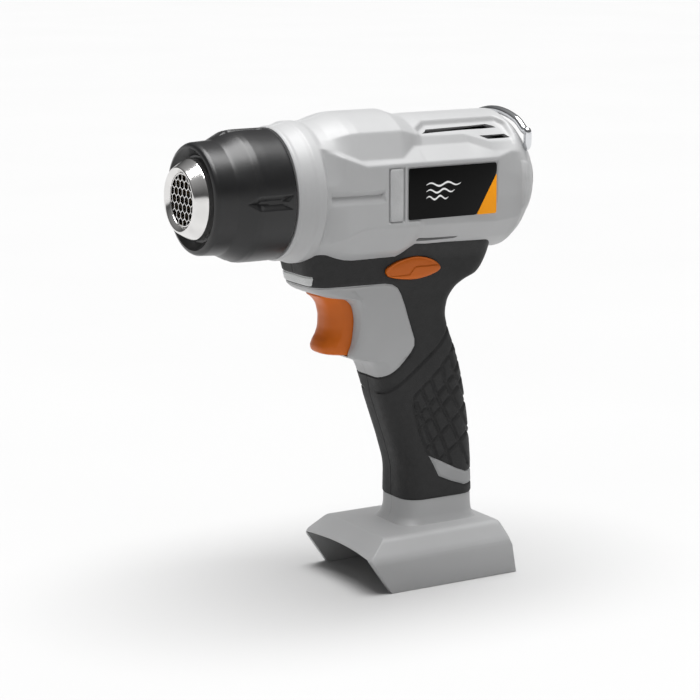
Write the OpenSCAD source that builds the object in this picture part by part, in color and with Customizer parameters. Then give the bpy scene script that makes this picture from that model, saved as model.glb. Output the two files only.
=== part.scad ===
// Cordless heat gun, bare tool: hollow clamshell housing with soft grip, heater, blower and trigger.
// Units are millimetres. The nozzle points towards -X, +Z is up, and the tool is symmetric about Y = 0.

/* [Overall] */
// Height of the barrel axis above the table
axis_z = 222; // [200:1:240]
// Distance from the collar's rear edge to the middle of the overall length
mid_x = 54; // [40:0.5:70]

/* [Barrel] */
// Radius of the wide middle band of the barrel
band_r = 42; // [38:0.5:46]
// Radius of the rear half of the barrel
rear_r = 38.8; // [34:0.2:44]
// X where the rear chamfer begins
chamfer_x = 141; // [130:1:148]
// X of the flat rear face
rear_x = 154.5; // [148:0.5:160]
// Wall thickness of the housing halves
wall = 2.6; // [2:0.1:4]
// Distance of the label flats from the middle plane
flat_y = 34.4; // [32:0.2:37]

/* [Nose] */
// Radius of the heat collar's rear band
collar_r = 35.4; // [33:0.2:38]
// Outer radius of the nozzle rim
rim_r = 17.6; // [14:0.2:22]
// X of the nozzle rim
rim_x = -52.5; // [-60:0.5:-45]
// Pitch of the honeycomb cells in the outlet grille
cell = 4.7; // [3.5:0.1:7]

/* [Grip] */
// Thickness of the soft overmould on the handle
skin = 2; // [1.5:0.1:3]
// Height where the overmould ends above the foot
skin_z = 44.5; // [40:0.5:50]
// Half width of the trigger
trigger_w = 11.8; // [9:0.2:13]
// Distance the trigger travels
travel = 6; // [4:0.5:8]
// Running clearance between parts that move
gap = 0.35; // [0.25:0.05:0.6]

/* [Foot] */
// Half width of the battery foot
foot_w = 37.5; // [34:0.5:42]
// Height of the foot's sloping shoulders
shoulder_z = 20; // [16:0.5:24]
// Height of the foot's top face
foot_top = 30.5; // [28:0.5:34]
// Ceiling of the battery cavity
cavity_z = 24; // [20:0.5:26]

/* [Bail] */
// Radius of the hanging bail's wire
wire_r = 2.2; // [1.5:0.1:3]
// Half width of the bail, to the middle of the wire
bail_w = 31.1; // [26:0.1:34]
// X of the bail's pivot axis
pivot_x = 147.5; // [144:0.5:152]
// Height of the bail's pivot axis
pivot_z = 241; // [236:0.5:246]
// Height of the middle of the bail's cross bar
bail_top = 259.6; // [256:0.2:262]

/* [Show] */
// Sub-part to draw, or all

/* [Hidden] */
$fn = 72;
e = 0.01;
fit = 0.05;
// Handle stations from the foot up: height, front x, rear x, half width, corner radius
S = [[28.6, 66, 131.5, 26, 8], [35, 73, 129.2, 21, 10], [40, 77.3, 127, 18.9, 12],
    [47, 78.9, 126.3, 17.8, 12.5], [60, 78.6, 126.2, 17.5, 13], [75, 75.6, 125.2, 17.5, 13],
    [90, 71.5, 123.5, 17.5, 13], [105, 67.3, 121, 17.5, 13], [112, 64.8, 119.6, 17.8, 12],
    [118, 59.5, 118, 18, 11], [124.5, 53, 116, 18.2, 9], [127, 45.5, 115.3, 18.2, 9],
    [131, 43.2, 113.8, 18.3, 8], [139, 46, 111, 18.5, 8], [150, 47.2, 108.8, 18.5, 8],
    [157, 46, 110, 18.8, 8], [162.5, 43, 114, 19, 8], [164.5, 27.5, 116.2, 19.2, 9],
    [168.5, 19.5, 124, 19.5, 10], [171.5, 17.8, 131, 19.8, 11], [177, 16.4, 134.5, 20, 11],
    [185, 14.6, 138, 20.3, 11], [193, 13, 139, 20.5, 11], [203, 13, 139, 20.5, 11]];
LAST = len(S) - 1;
// Screw positions in the side view
BOSSES = [[50, 252.5], [50, 192], [92, 256.3], [92, 187.6], [30, 180.5], [99.5, 158],
    [77, 123.4], [103, 49]];

// Moves the tool so that the middle of its length is at X = 0
module tool() {
    translate([-mid_x, 0, 0])
    children();
}

// Turns a profile drawn as [radius, x] about the barrel axis
module turned(n = 72) {
    translate([0, 0, axis_z])
    rotate([0, 90, 0])
    rotate_extrude($fn = n)
    children();
}

// A tube along the barrel axis
module pipe(x0, x1, ro, ri, n = 72) {
    translate([x0, 0, axis_z])
    rotate([0, 90, 0])
    difference() {
        cylinder(r = ro, h = x1 - x0, $fn = n);
        translate([0, 0, -1])
        cylinder(r = ri, h = x1 - x0 + 2, $fn = n);
    }
}

// A cylinder along X from x0 to x1 at y, z
module rod_x(x0, x1, r, y = 0, z = axis_z, n = 72) {
    translate([x0, y, z])
    rotate([0, 90, 0])
    cylinder(r = r, h = x1 - x0, $fn = n);
}

// A cylinder along Y from y0 to y1 at x, z
module rod_y(y0, y1, r, x, z, n = 72) {
    translate([x, y1, z])
    rotate([90, 0, 0])
    cylinder(r = r, h = y1 - y0, $fn = n);
}

// A box between two corners
module box(a, b) {
    translate(a)
    cube(b - a);
}

// A prism through the tool from a polygon in the side view
module side_prism(pts, y0 = -60, y1 = 60) {
    translate([0, y1, 0])
    rotate([90, 0, 0])
    linear_extrude(height = y1 - y0)
    polygon(pts);
}

// Keeps one half: s = -1 is the left half, s = 1 the right half
module half(s) {
    intersection() {
        children();
        translate([-100, s < 0 ? -100 : 0, -10])
        cube([400, 100, 400]);
    }
}

// Mirrors to the side asked for
module side(s) {
    scale([1, s, 1])
    children();
}

// One corner point of a handle station: c is the corner, k the step along its arc
function corner(p, off, c, k) = let (r = max(p[4] - off, 2), a = c * 90 + k * 18)
    [(c == 0 || c == 3 ? p[2] - off - r : p[1] + off + r) + r * cos(a),
        (c < 2 ? 1 : -1) * (p[3] - off - r) + r * sin(a), p[0]];

// The outline of a handle station as a loop of points
function outline(p, off) = [for (c = [0 : 3], k = [0 : 5]) corner(p, off, c, k)];

// The handle from station i0 to station i1, inset by off
module handle(off, i0 = 0, i1 = LAST) {
    m = i1 - i0;
    polyhedron(
        points = [for (i = [i0 : i1]) each outline(S[i], off)],
        faces = concat(
            [for (k = [1 : 22]) [0, k, k + 1]],
            [for (k = [1 : 22]) [m * 24, m * 24 + k + 1, m * 24 + k]],
            [for (i = [0 : m - 1], k = [0 : 23]) [i * 24 + k, i * 24 + 24 + k,
                i * 24 + (k + 1) % 24]],
            [for (i = [0 : m - 1], k = [0 : 23]) [i * 24 + 24 + k, i * 24 + 24 + (k + 1) % 24,
                i * 24 + (k + 1) % 24]]),
        convexity = 6);
}

// The outside of the barrel, grown by g
module barrel_outer(g = 0) {
    turned(48)
    polygon([[0, 0.4], [34.8 + g, 0.4], [35.4 + g, 3], [38.2 + g, 10.5], [38.4 + g, 25],
        [40.3 + g, 31], [41.5 + g, 36], [band_r + g, 41], [band_r + g, 68.5], [38.4 + g, 79],
        [rear_r + g, 86], [rear_r + g, chamfer_x], [35 + g, 146.5], [26.6 + g, rear_x],
        [0, rear_x]]);
}

// The air space inside the barrel
module barrel_inner() {
    intersection() {
        turned(40)
        polygon([[0, -20], [30.6, -20], [30.6, 2], [32.8, 3], [35.6, 12], [35.8, 26],
            [37.8, 33], [band_r - wall, 42], [band_r - wall, 67], [35.8, 78],
            [rear_r - wall, chamfer_x - 1], [31.7, 146], [25.6, 152], [0, 152]]);
        box([-30, 2 - flat_y, 150], [160, flat_y - 2, 300]);
    }
}

// Side view of the grey trigger panel
module panel_prism() {
    side_prism([[0, 171.9], [34.7, 171.1], [63, 170.5], [68.5, 169], [72.8, 165.5],
        [76, 157.4], [81.2, 141.8], [82.6, 136], [81.3, 131.6], [78, 128], [66.5, 122.5],
        [57, 118], [50, 116.2], [0, 116.2]]);
}

// Side view of the light chevron set in the grip
module chevron_prism() {
    side_prism([[93.2, 69.4], [101, 65.6], [111, 60.3], [117.8, 57.5], [140, 57.5],
        [140, 51.2], [117, 50], [108, 53.2], [99.8, 57], [97, 62.6]]);
}

// Side view of the lock button, grown by g
module button_prism(g, y0, y1) {
    hull() {
        rod_y(y0, y1, 2.4 + g, 66, 175.6, 28);
        rod_y(y0, y1, 5 + g, 76, 178.2, 28);
        rod_y(y0, y1, 5 + g, 85, 178.4, 28);
        rod_y(y0, y1, 2.6 + g, 93.5, 176.4, 28);
    }
}

// The battery foot's solid outside
module foot_outer() {
    hull() {
        box([57, -foot_w, 0], [140, foot_w, 0.6]);
        box([43.1, -foot_w, shoulder_z - 0.4], [136.6, foot_w, shoulder_z + 0.4]);
        box([55.5, -31, foot_top - 0.5], [132.5, 31, foot_top]);
    }
}

// The battery space under the foot, open at the front and at the bottom
module foot_inner() {
    hull() {
        box([36, -33.8, -1], [133, 33.8, shoulder_z - 2]);
        box([36, -29, cavity_z - 1], [131, 29, cavity_z]);
    }
}

// The rails that the battery slides on
module rails() {
    for (s = [-1, 1])
        side(s)
        box([62, 29.8, 3.2], [133.5, 34, 6.4]);
}

// Screw bosses inside one half
module bosses(s) {
    for (p = BOSSES)
        hull() {
            rod_y(-0.5, 0.5, 4.2, p[0], p[1], 16);
            rod_y(s * 35.5 - 0.5, s * 35.5 + 0.5, 5, p[0], p[1], 16);
        }
}

// The holes that the screws take through one half
module screw_holes(s) {
    for (p = BOSSES) {
        rod_y(-9.5, 7 + e, 1.62, p[0], p[1], 14);
        if (s > 0)
            rod_y(7, 60, 3.4, p[0], p[1], 18);
    }
}

// Openings cut through the housing and the overmould
module cuts() {
    side_prism([[20, 166.3], [47.4, 166.3], [51.7, 163.1], [54.2, 157.5], [63, 157.5],
        [63, 133.2], [50.9, 133.2], [46.6, 130.6], [20, 130.6]], -trigger_w - gap,
        trigger_w + gap);
    button_prism(gap, -30, 30);
    box([10, -8, 173.4], [26, 8, 177.4]);
}

// Vent slots through the barrel's upper and lower flanks
module vents() {
    for (s = [-1, 1])
        side(s) {
            for (v = [[74, 122, 52], [106, 128, 37.5]])
                translate([0, 0, axis_z])
                rotate([-v[2] + 90, 0, 0])
                box([v[0], -1.5, 28], [v[1], 1.5, 50]);
            translate([0, 0, axis_z])
            rotate([145, 0, 0])
            box([74, -0.9, 28], [101, 0.9, 50]);
        }
}

// One half of the hollow housing with its ribs and bosses
module housing(s) {
    half(s)
    difference() {
        union() {
            difference() {
                union() {
                    barrel_outer();
                    rod_x(-14, 1, 33, 0, axis_z, 40);
                    difference() {
                        handle(skin);
                        rod_x(-20, 200, 30, 0, axis_z, 40);
                    }
                    intersection() {
                        handle(0);
                        union() {
                            panel_prism();
                            box([40, -50, 20], [150, 50, skin_z]);
                        }
                    }
                    foot_outer();
                }
                barrel_inner();
                handle(skin + 2.4, 1);
                foot_inner();
            }
            intersection() {
                union() {
                    barrel_outer();
                    handle(skin);
                }
                union() {
                    bosses(s);
                    pipe(100, 103, 39, 30.2, 40);
                    pipe(133, 136, 38, 30.2, 40);
                    pipe(54, 57, 41, 22, 40);
                    rod_y(s * 24 - 4.5, s * 24 + 4.5, 4.6, pivot_x, pivot_z, 24);
                    for (x = [70, 86])
                        box([x, s < 0 ? -19 : 8, 135], [x + 2, s < 0 ? -8 : 19, 164]);
                }
            }
            rails();
        }
        rod_x(-20, 70, 22, 0, axis_z, 40);
        rod_x(84, 147, 30.2, 0, axis_z, 40);
        rod_x(140, 160, 25.1, 0, axis_z, 40);
        cuts();
        vents();
        screw_holes(s);
        label_pocket(s);
        box([100, -8, 20], [118, 8, 42]);
        side(s) {
            rod_y(22.4, 34, wire_r + gap, pivot_x, pivot_z, 24);
            rod_z(pivot_x, bail_w, pivot_z, bail_top + 6, wire_r + gap);
        }
        front_arch();
    }
}

// The curved relief in the foot's front apron, between the side walls
module front_arch() {
    intersection() {
        translate([36, 0, -90])
        rotate([0, 90, 0])
        cylinder(r = 115, h = 20, $fn = 72);
        box([30, -33.8, 0], [60, 33.8, 40]);
    }
}

// The flat that the label and the bar insert sit on
module label_pocket(s) {
    side(s)
    box([55.8, flat_y, 206], [126, 60, 236]);
}

// Soft overmould, one half
module grip(s) {
    color([0.09, 0.09, 0.1])
    half(s)
    difference() {
        intersection() {
            handle(0);
            box([0, -50, skin_z], [200, 50, 202]);
        }
        handle(skin);
        panel_prism();
        chevron_prism();
        barrel_outer();
        cuts();
        lens_zone();
        grip_grooves(s);
        if (s > 0)
            screw_holes(s);
    }
}

// Criss-cross grooves in the soft grip's flat side
module grip_grooves(s) {
    for (g = [[86, 98, 96, 116], [86, 86, 104, 117], [88, 74, 108, 112], [92, 66, 111, 98],
        [84, 106, 92, 64], [89, 112, 99, 66], [97, 117, 106, 66], [104, 117, 111, 74]])
        hull() {
            rod_y(s * 18.4 - 1.6, s * 18.4 + 1.6, 0.5, g[0], g[1], 8);
            rod_y(s * 18.4 - 1.6, s * 18.4 + 1.6, 0.5, g[2], g[3], 8);
        }
}

// The window band that wraps the front of the chin
module lens_zone() {
    box([5, -30, 172.4], [21, 30, 178.4]);
}

module left_housing() { tool() color([0.74, 0.75, 0.77]) housing(-1); }
module right_housing() { tool() color([0.74, 0.75, 0.77]) housing(1); }
module left_grip() { tool() grip(-1); }
module right_grip() { tool() grip(1); }

module heat_collar() {
    tool()
    color([0.1, 0.1, 0.11])
    difference() {
        turned()
        polygon([[23, -45.2], [27.6, -45.2], [29.2, -44.4], [29.9, -42.8], [30.5, -32.2],
            [30.9, -31.6], [34.8, -23.6], [collar_r, -19], [collar_r, -1], [35, 0],
            [33 + fit, 0], [33 + fit, -16], [27.6, -30], [27.6, -38], [21.9, -38],
            [21.9, -41], [23, -41]]);
        for (a = [0, 90, 180, 270])
            translate([0, 0, axis_z])
            rotate([a, 0, 0])
            translate([-19, 0, 34.4])
            linear_extrude(height = 3)
            polygon([[0, 0], [4, -3.4], [19 - 0.8, -3.4], [17, 0], [19 - 0.8, 3.4], [4, 3.4]]);
    }
}

module nozzle() {
    tool()
    color([0.8, 0.81, 0.83])
    turned()
    polygon([[16.2, rim_x], [rim_r - 0.4, rim_x + 0.1], [rim_r, rim_x + 0.6], [21.8, -46.1],
        [21.8, -29], [20, -29], [20, -45], [14.1, -46.2], [14.1, -50.6]]);
}

module honeycomb_grille() {
    tool()
    color([0.72, 0.73, 0.75])
    difference() {
        rod_x(-50, -46.6, 14.1 - 0.02);
        for (i = [-3 : 3], j = [-3 : 3]) {
            y = cell * 0.8660254 * i;
            z = cell * (j + (abs(i) % 2) * 0.5);
            if (y * y + z * z < 141)
                translate([-52, y, axis_z + z])
                rotate([0, 90, 0])
                rotate([0, 0, 90])
                cylinder(d = cell * 1.02, h = 8, $fn = 6);
        }
    }
}

module work_light_lens() {
    tool()
    color([0.86, 0.87, 0.86])
    intersection() {
        difference() {
            handle(0, 18, 22);
            handle(skin, 17, 22);
        }
        lens_zone();
    }
}

module work_light_board() {
    tool()
    color([0.85, 0.8, 0.45])
    union() {
        box([22.4, -7.6, 173.6], [23.4, 7.6, 177.2]);
        for (y = [-4, 4])
            box([20.6, y - 1.6, 173.9], [22.4, y + 1.6, 176.9]);
    }
}

module label_plate(s) {
    color([0.04, 0.04, 0.045])
    side(s)
    side_prism([[68, 206.9], [111.6, 206.9], [124.6, 229.2], [124.6, 234.8], [68, 234.8]],
        flat_y, flat_y + 0.7);
}

module label_wedge(s) {
    color([0.96, 0.6, 0.12])
    side(s)
    side_prism([[111.6, 206.9], [124.6, 206.9], [124.6, 229.2]], flat_y, flat_y + 0.7);
}

module bar_insert(s) {
    color([0.55, 0.56, 0.57])
    side(s)
    difference() {
        box([56.4, flat_y, 206.8], [64.6, flat_y + 1.4, 235.2]);
        box([57.4, flat_y + 0.9, 208], [63.6, flat_y + 2, 234]);
        for (k = [0 : 11])
            box([57.4, flat_y + 0.5, 208.6 + 2.1 * k], [63.6, flat_y + 2, 209.6 + 2.1 * k]);
    }
}

module rear_pad(s) {
    color([0.45, 0.46, 0.47])
    half(s)
    intersection() {
        difference() {
            barrel_outer(0.7);
            barrel_outer();
        }
        box([139.5, -60, 207], [150, 60, 235]);
    }
}

module grip_chevron(s) {
    color([0.5, 0.51, 0.52])
    half(s)
    intersection() {
        difference() {
            handle(0, 3, 5);
            handle(skin, 2, 6);
        }
        chevron_prism();
    }
}

module label_plate_left() { tool() label_plate(-1); }
module label_plate_right() { tool() label_plate(1); }
module label_wedge_left() { tool() label_wedge(-1); }
module label_wedge_right() { tool() label_wedge(1); }
module bar_insert_left() { tool() bar_insert(-1); }
module bar_insert_right() { tool() bar_insert(1); }
module rear_pad_left() { tool() rear_pad(-1); }
module rear_pad_right() { tool() rear_pad(1); }
module grip_chevron_left() { tool() grip_chevron(-1); }
module grip_chevron_right() { tool() grip_chevron(1); }

module rear_cap() {
    tool()
    color([0.12, 0.12, 0.13])
    difference() {
        turned()
        polygon([[0, 157.6], [0, 160.5], [17, 160.5], [19.5, 159.8], [24.6, 156], [26.2, rear_x],
            [24.9, rear_x], [24.9, 150], [22.4, 150], [22.4, 155], [17.6, 157.6]]);
        for (a = [0 : 15 : 345])
            translate([0, 0, axis_z])
            rotate([a, 0, 0])
            box([150, -0.9, 8], [163, 0.9, 20]);
    }
}

module housing_screws() {
    tool()
    color([0.3, 0.3, 0.32])
    for (p = BOSSES)
        difference() {
            union() {
                rod_y(-9, 7, 1.5, p[0], p[1]);
                rod_y(7, 9.2, 3, p[0], p[1]);
            }
            rod_y(8, 10, 1.4, p[0], p[1]);
        }
}

module air_duct() {
    tool()
    color([0.16, 0.16, 0.17])
    union() {
        turned()
        polygon([[20.2, 50], [21.8, 50], [21.8, 68], [30, 86], [30, 140], [31.2, 142.5],
            [29.8, 142.5], [28.4, 140], [28.4, 87], [20.2, 69]]);
        pipe(96, 108, 16, 14.2 + fit);
        for (a = [30 : 60 : 330])
            translate([0, 0, axis_z])
            rotate([a, 0, 0])
            box([97, -0.8, 15.6], [107, 0.8, 28.8]);
    }
}

module motor_can() {
    tool()
    color([0.75, 0.76, 0.78])
    turned()
    polygon([[1.8, 84], [5, 84], [5, 85.6], [14.2, 85.6], [14.2, 118], [13.2, 118],
        [13.2, 86.6], [1.8, 86.6]]);
}

module motor_magnets() {
    tool()
    color([0.2, 0.2, 0.21])
    difference() {
        pipe(90, 112, 13.2 - 0.02, 10.6);
        for (s = [-1, 1])
            box([80, -6, axis_z + (s < 0 ? -20 : 6)], [120, 6, axis_z + (s < 0 ? -6 : 20)]);
    }
}

module motor_end_cap() {
    tool()
    color([0.14, 0.2, 0.3])
    difference() {
        union() {
            rod_x(115, 118, 13.2 - 0.02);
            rod_x(118, 119.6, 14.2);
            for (s = [-1, 1])
                box([119.6, s * 7 - 1.5, axis_z - 2], [122, s * 7 + 1.5, axis_z + 2]);
        }
        rod_x(110, 125, 1.8);
    }
}

module motor_shaft() {
    tool()
    color([0.8, 0.8, 0.82])
    rod_x(80, 139, 1.5);
}

module rotor_core() {
    tool()
    color([0.45, 0.3, 0.18])
    difference() {
        union() {
            rod_x(91, 111, 9.9);
            rod_x(111, 114.4, 4);
        }
        for (a = [0, 120, 240])
            translate([0, 0, axis_z])
            rotate([a, 0, 0])
            box([90, -0.8, 5], [112, 0.8, 12]);
        rod_x(80, 120, 1.5);
    }
}

module fan_impeller() {
    tool()
    color([0.2, 0.2, 0.22])
    difference() {
        union() {
            turned()
            polygon([[0, 124], [13, 124], [14, 125.6], [9, 133], [5, 137], [0, 137]]);
            for (a = [0 : 40 : 320])
                translate([130, 0, axis_z])
                rotate([a, 0, 0])
                rotate([0, 0, 38])
                box([-6.4, -0.7, 7], [6.4, 0.7, 27.2]);
        }
        rod_x(120, 140, 1.5);
    }
}

module heater_tube() {
    tool()
    color([0.62, 0.63, 0.65])
    pipe(-43.5, 62, 19.95, 19.35);
}

module mica_sleeve() {
    tool()
    color([0.72, 0.64, 0.48])
    pipe(-36, 56, 19.3, 18.6);
}

module mica_cross() {
    tool()
    color([0.8, 0.73, 0.56])
    difference() {
        union() {
            box([-34, -18.4, axis_z - 0.5], [55, 18.4, axis_z + 0.5]);
            box([-34, -0.5, axis_z - 18.4], [55, 0.5, axis_z + 18.4]);
        }
        for (k = [0 : 11])
            pipe(-30.4 + 6.6 * k, -28.2 + 6.6 * k, 20, 13.8);
    }
}

module heater_coil() {
    tool()
    color([0.5, 0.47, 0.44])
    union() {
        for (k = [0 : 11])
            pipe(-30 + 6.6 * k, -28.6 + 6.6 * k, 14.6, 13.8);
        for (k = [0 : 10])
            translate([0, 0, axis_z])
            rotate([k % 2 == 0 ? 45 : 225, 0, 0])
            box([-28.8 + 6.6 * k, -1, 13.9], [-23.2 + 6.6 * k, 1, 14.5]);
    }
}

module thermal_cutout() {
    tool()
    color([0.7, 0.7, 0.72])
    union() {
        rod_x(55, 60.5, 5.2);
        for (s = [-1, 1])
            box([60.5, s * 3 - 0.8, axis_z - 0.4], [66, s * 3 + 0.8, axis_z + 0.4]);
    }
}

module control_board() {
    tool()
    color([0.1, 0.35, 0.16])
    union() {
        box([89, -0.8, 62], [111, 0.8, 118]);
        box([92, 0.8, 96], [104, 7, 112]);
        box([94, 0.8, 70], [100, 5, 76]);
        rod_y(-9, -0.8, 4, 99, 84);
        rod_y(-7, -0.8, 2.6, 106, 98);
    }
}

module switch_body() {
    tool()
    color([0.1, 0.1, 0.11])
    difference() {
        box([65, -8, 134], [92, 8, 165]);
        rod_x(64, 82, 4.2 + gap, 0, 149);
    }
}

module switch_plunger() {
    tool()
    color([0.25, 0.25, 0.27])
    union() {
        rod_x(55.5, 75, 4.2, 0, 149);
        rod_x(55.5, 58, 6.5, 0, 149);
    }
}

module trigger() {
    tool()
    color([0.72, 0.3, 0.1])
    side_prism([[25.4, 165.4], [30, 162], [32.6, 158.4], [34, 152], [33.8, 147], [32.5, 142.5],
        [30.2, 138.4], [29.2, 135.4], [30.2, 132.8], [34, 131.3], [40, 131], [44.3, 133.6],
        [55.5, 133.6], [55.5, 157.1], [47.6, 157.1], [45.2, 162.6], [40.8, 165.8],
        [30, 166]], -trigger_w, trigger_w);
}

module lock_button() {
    tool()
    color([0.72, 0.3, 0.1])
    union() {
        button_prism(0, -22.6, -14);
        button_prism(0, 11, 18.4);
        box([70, -14, 174.4], [90, 11, 182]);
    }
}

module terminal_block() {
    tool()
    color([0.08, 0.08, 0.09])
    difference() {
        box([94, -16, 9], [126, 16, cavity_z]);
        for (y = [-11, -4, 4, 11])
            box([92, y - 1.6, 11], [116, y + 1.6, 21]);
    }
}

module terminal_blades() {
    tool()
    color([0.75, 0.55, 0.3])
    for (y = [-11, -4, 4, 11])
        box([97, y - 0.4, 12], [116, y + 0.4, 20]);
}

module power_leads() {
    tool()
    color([0.6, 0.08, 0.06])
    union() {
        rod_z(114, 5, cavity_z, 56, 1.1);
        rod_z(114, -5, cavity_z, 56, 1.1);
        rod_z(90.4, -3, 118, 134, 1.1);
        rod_z(90.4, 3, 118, 134, 1.1);
    }
}

// A cylinder along Z from z0 to z1 at x, y
module rod_z(x, y, z0, z1, r) {
    translate([x, y, z0])
    cylinder(r = r, h = z1 - z0, $fn = 24);
}

module hanging_bail() {
    rc = 11;
    tool()
    color([0.75, 0.76, 0.78])
    translate([pivot_x, 0, 0])
    union() {
        for (s = [-1, 1])
            side(s) {
                translate([0, bail_w, pivot_z])
                cylinder(r = wire_r, h = bail_top - rc - pivot_z, $fn = 36);
                rod_y(23, bail_w, wire_r, 0, pivot_z);
                translate([0, bail_w, pivot_z])
                sphere(r = wire_r, $fn = 36);
                translate([0, bail_w - rc, bail_top - rc])
                rotate([90, 0, 90])
                rotate_extrude(angle = 90)
                translate([rc, 0])
                circle(r = wire_r, $fn = 36);
            }
        rod_y(rc - bail_w, bail_w - rc, wire_r, 0, bail_top);
    }
}

left_housing();
right_housing();
left_grip();
right_grip();
heat_collar();
nozzle();
honeycomb_grille();
work_light_lens();
work_light_board();
label_plate_left();
label_plate_right();
label_wedge_left();
label_wedge_right();
bar_insert_left();
bar_insert_right();
rear_pad_left();
rear_pad_right();
grip_chevron_left();
grip_chevron_right();
rear_cap();
housing_screws();
air_duct();
motor_can();
motor_magnets();
motor_end_cap();
motor_shaft();
rotor_core();
fan_impeller();
heater_tube();
mica_sleeve();
mica_cross();
heater_coil();
thermal_cutout();
control_board();
switch_body();
switch_plunger();
trigger();
lock_button();
terminal_block();
terminal_blades();
power_leads();
hanging_bail();
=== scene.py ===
import math

import bmesh
import bpy
import numpy as np
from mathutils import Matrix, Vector


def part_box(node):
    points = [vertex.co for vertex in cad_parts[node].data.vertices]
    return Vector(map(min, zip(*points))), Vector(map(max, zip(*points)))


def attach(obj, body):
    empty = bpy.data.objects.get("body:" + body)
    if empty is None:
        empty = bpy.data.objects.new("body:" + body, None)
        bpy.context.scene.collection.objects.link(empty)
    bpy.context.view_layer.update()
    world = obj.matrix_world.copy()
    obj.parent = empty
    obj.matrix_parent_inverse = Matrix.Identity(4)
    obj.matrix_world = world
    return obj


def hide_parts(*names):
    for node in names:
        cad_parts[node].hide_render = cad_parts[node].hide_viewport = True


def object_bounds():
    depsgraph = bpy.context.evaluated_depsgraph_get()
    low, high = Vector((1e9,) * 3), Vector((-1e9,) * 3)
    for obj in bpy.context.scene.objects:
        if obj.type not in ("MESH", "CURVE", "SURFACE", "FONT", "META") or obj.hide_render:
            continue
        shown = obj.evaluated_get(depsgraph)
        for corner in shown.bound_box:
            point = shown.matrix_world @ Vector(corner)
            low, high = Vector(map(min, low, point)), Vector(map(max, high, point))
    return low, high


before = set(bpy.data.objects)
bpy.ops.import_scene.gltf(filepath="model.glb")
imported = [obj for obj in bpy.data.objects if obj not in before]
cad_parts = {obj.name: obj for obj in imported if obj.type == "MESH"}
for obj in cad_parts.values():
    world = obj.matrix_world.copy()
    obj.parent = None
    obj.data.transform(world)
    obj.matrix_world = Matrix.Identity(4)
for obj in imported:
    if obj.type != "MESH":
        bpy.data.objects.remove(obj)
cad_low, cad_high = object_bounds()

# Outlines are drawn in millimetres: x runs back from the collar's rear edge, y is across the tool and
# z is the height above the table. The collar and the motor shaft in the frame say where that is.
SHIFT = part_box("heat_collar")[1].x
AXIS = sum(c.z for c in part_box("motor_shaft")) / 2 * 1000
TOOL_END = (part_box("left_housing")[1].x - SHIFT) * 1000
BAND_R = -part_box("left_housing")[0].y * 1000
WALL = 2.6
SKIN = 2.0
SKIN_BOTTOM = 44.5
LEFT, RIGHT = -1, 1
SIDES = {LEFT: "left", RIGHT: "right"}

# Handle stations: height, front x, rear x, half width, corner radius
STATIONS = np.array([
    (28.6, 73.5, 129, 21.5, 10), (31.5, 76.2, 127.6, 19.3, 12), (35, 78.2, 126.8, 18.2, 12.5),
    (40, 78.9, 126.4, 17.9, 12.5), (47, 78.9, 126.3, 17.8, 12.5), (60, 78.6, 126.2, 17.5, 13),
    (75, 75, 125.2, 17.5, 13), (90, 70, 123.5, 17.5, 13), (97, 67.6, 122.3, 17.5, 13),
    (105, 65, 121, 17.5, 13), (112, 63.6, 119, 17.8, 12), (118, 61.8, 117, 18, 11),
    (122.5, 60, 115.4, 18.1, 10), (126, 56.5, 113.6, 18.2, 9), (127.6, 52, 113, 18.2, 8.5),
    (128.3, 47, 112.8, 18.2, 8), (131, 43, 111.7, 18.3, 8), (139, 45.2, 108.3, 18.5, 8),
    (150, 46.5, 105.6, 18.5, 8), (157, 45.5, 106.6, 18.8, 8), (162.5, 41, 109.8, 19, 8),
    (165, 28.5, 112.6, 19.2, 9), (168.5, 20.5, 118.8, 19.5, 10), (171.5, 17.8, 126, 19.8, 11),
    (177, 16.4, 130.5, 20, 11), (185, 14.6, 133.8, 20.3, 11), (193, 13, 135, 20.5, 11),
    (203, 13, 135, 20.5, 11)])
# Screw positions in the side view
BOSSES = [(50, 252.5), (50, 192), (92, 256.3), (92, 187.6), (30, 180.5), (99.5, 158),
          (77, 123.4), (103, 49)]
PANEL = [(0, 171.9), (34.7, 171.1), (63, 170.5), (67.4, 169.6), (71, 167.4), (73.4, 163.6),
         (76, 157.4), (81.2, 141.8), (82.6, 137.6), (82.6, 133.8), (80.4, 130.2), (76.5, 126),
         (73, 122.6), (68, 119.3), (63, 116.6), (57.5, 114.6), (50, 114), (0, 114)]
# The raised bead behind the trigger
BEAD = [(43, 131.2), (46.4, 135.4), (48.4, 140.6), (49.7, 147.6), (49.7, 153.8), (47.2, 161), (43, 166.6)]
# The lock button's outline in the side view
BUTTON = [(62.5, 178.3), (63.8, 174.8), (68.5, 173.1), (78.8, 171.8), (87.3, 172.5), (95, 174.7),
          (97.4, 177), (94.6, 180.4), (89, 183.1), (81.3, 184.4), (73.6, 183.4), (66.8, 181.2)]
CHEVRON = [(93.2, 69.4), (101, 65.6), (111, 60.3), (117.8, 57.5), (140, 57.5), (140, 51.2),
           (117, 50), (108, 53.2), (99.8, 57), (97, 62.6)]
GRIP_LINE = [(40, 106), (60.5, 106), (67, 108.5), (73.5, 113), (80, 117.3), (86.5, 122.3),
             (93, 127.3), (99.5, 133.5), (104, 139.6), (112, 151)]
PAD = [(112, 136), (106, 127), (100, 119.8), (93, 113), (86.5, 108), (83.3, 104.5), (82.7, 100),
       (83.4, 96), (86, 87), (89.5, 77.4), (93.2, 69.4), (101, 65.6), (111, 60.3), (117.8, 57.5),
       (135, 57.5), (135, 136)]
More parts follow.
